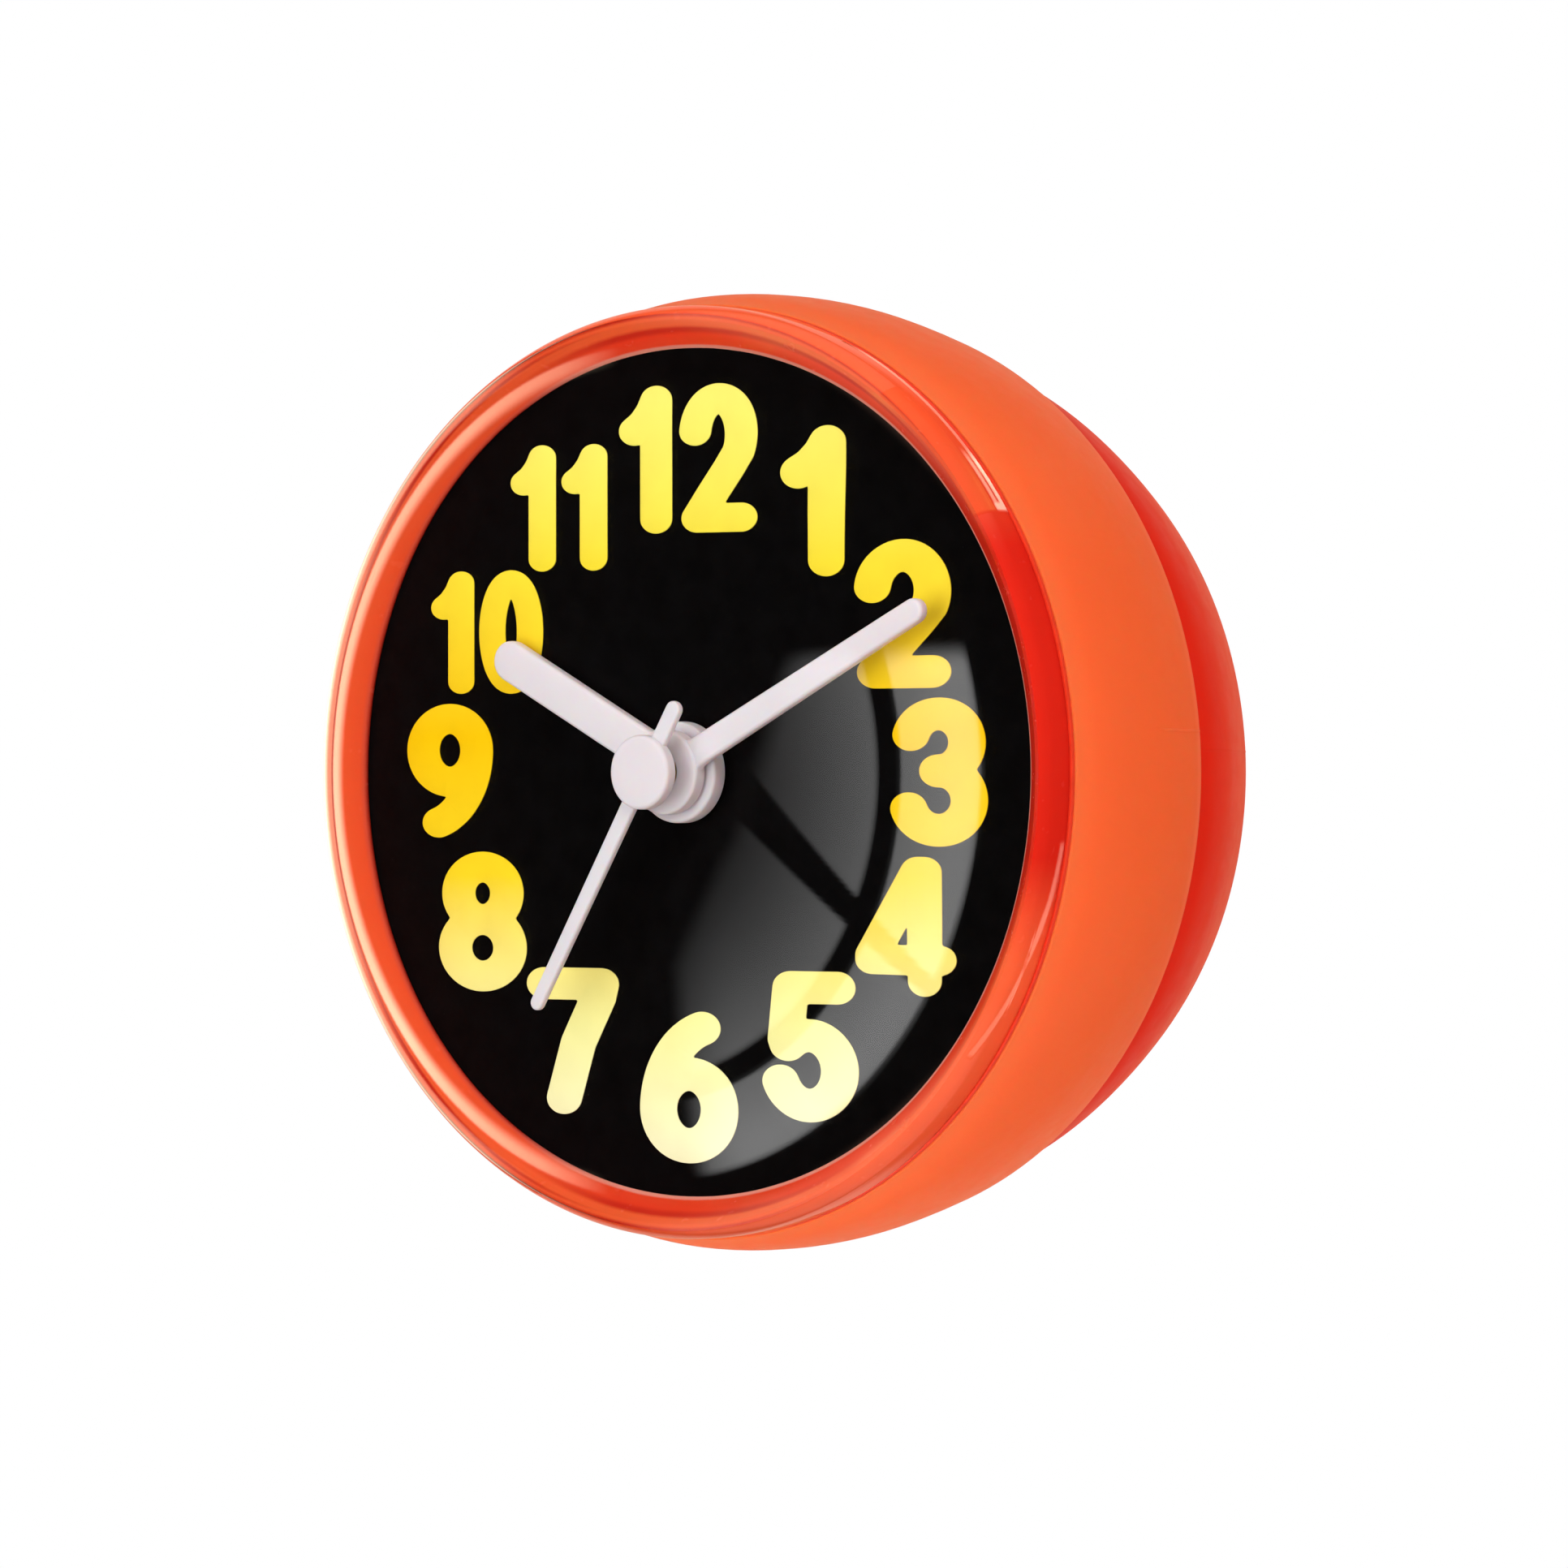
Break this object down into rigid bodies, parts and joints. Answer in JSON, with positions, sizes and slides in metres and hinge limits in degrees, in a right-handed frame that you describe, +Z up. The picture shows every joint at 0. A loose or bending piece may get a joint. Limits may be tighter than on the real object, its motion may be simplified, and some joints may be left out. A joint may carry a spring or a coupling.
{
  "type": "shower clock",
  "caption": "Round bathroom wall clock: bulging orange drum with a clear domed lens over a black dial, off-white hands, a twist-off rear cover and a suction cup on the back.",
  "frame": {"origin": "centre of the suction cup's lip, in the plane of the wall it is pressed on", "axes": "+Z up the dial towards twelve, +X towards three, -Y out of the dial towards the viewer, +Y into the wall"},
  "size_m": [0.0706, 0.041, 0.0706],
  "materials": {
    "orange_plastic": "satin moulded plastic",
    "clear_acrylic": "clear polished",
    "red_plastic": "glossy moulded plastic",
    "black_dial": "printed satin black",
    "white_hands": "satin off-white",
    "seal_rubber": "soft, dull dark red",
    "soft_cup": "soft translucent, smooth",
    "movement_black": "fine-textured",
    "nylon": "natural",
    "brass_plate": "bright stamped",
    "steel": "plated",
    "soft_iron": "stamped, bare",
    "magnet": "sintered, dark",
    "copper_wire": "enamelled copper wire",
    "board_green": "solder-masked",
    "epoxy_black": "potted"
  },
  "bodies": {
    "case": {"housing": "orange_plastic", "lens": "clear_acrylic", "lens_gasket": "seal_rubber", "dial_ring": "red_plastic", "dial": "black_dial", "movement_front_plate": "movement_black", "movement_case": "movement_black", "middle_plate": "nylon", "movement_screw_1": "steel", "movement_screw_2": "steel", "movement_screw_3": "steel", "case_screw_1": "steel", "case_screw_2": "steel", "case_screw_3": "steel", "stator": "soft_iron", "coil_core": "soft_iron", "coil_bobbin": "nylon", "coil_winding": "copper_wire", "circuit_board": "board_green", "quartz_crystal": "steel", "chip_cap": "epoxy_black", "battery": "steel", "battery_contact_negative": "brass_plate", "battery_contact_positive": "brass_plate"},
    "seconds": {"second_hand": "white_hands", "second_wheel": "nylon"},
    "minutes": {"minute_hand": "white_hands", "centre_wheel": "brass_plate"},
    "hours": {"hour_hand": "white_hands", "hour_wheel": "nylon"},
    "setting": {"minute_wheel": "nylon", "setting_knob": "nylon"},
    "third": {"third_wheel": "nylon"},
    "fifth": {"fifth_wheel": "nylon"},
    "motor_rotor": {"rotor": "magnet"},
    "back": {"rear_cap": "orange_plastic", "cap_seal": "seal_rubber", "suction_cup": "soft_cup"}
  },
  "joints": [
    {"name": "second_hand_turn", "type": "hinge", "parent": "case", "child": "seconds", "pos_m": [0, 0, 0], "axis": [0, 1, 0], "continuous": true},
    {"name": "fifth_wheel_turn", "type": "hinge", "parent": "case", "child": "fifth", "pos_m": [0.00324, 0, 0.00561], "axis": [0, 1, 0], "continuous": true},
    {"name": "rotor_turn", "type": "hinge", "parent": "case", "child": "motor_rotor", "pos_m": [0.00587, 0, 0.01016], "axis": [0, 1, 0], "continuous": true},
    {"name": "third_wheel_turn", "type": "hinge", "parent": "case", "child": "third", "pos_m": [-0.00552, 0, 0.00319], "axis": [0, 1, 0], "continuous": true},
    {"name": "minute_hand_turn", "type": "hinge", "parent": "case", "child": "minutes", "pos_m": [0, 0, 0], "axis": [0, 1, 0], "continuous": true},
    {"name": "setting_knob_turn", "type": "hinge", "parent": "case", "child": "setting", "pos_m": [0.0036, 0, -0.00624], "axis": [0, 1, 0], "continuous": true},
    {"name": "hour_hand_turn", "type": "hinge", "parent": "case", "child": "hours", "pos_m": [0, 0, 0], "axis": [0, 1, 0], "continuous": true},
    {"name": "rear_cap_twist", "type": "hinge", "parent": "case", "child": "back", "pos_m": [0, 0, 0], "axis": [0, 1, 0], "range_deg": [0, 45]}
  ],
  "couplings": [
    {"joint": "fifth_wheel_turn", "follows": "second_hand_turn", "ratio": -5},
    {"joint": "rotor_turn", "follows": "second_hand_turn", "ratio": 30},
    {"joint": "third_wheel_turn", "follows": "second_hand_turn", "ratio": -0.13333},
    {"joint": "minute_hand_turn", "follows": "second_hand_turn", "ratio": 0.016667},
    {"joint": "setting_knob_turn", "follows": "second_hand_turn", "ratio": -0.0055556},
    {"joint": "hour_hand_turn", "follows": "second_hand_turn", "ratio": 0.0013889}
  ]
}
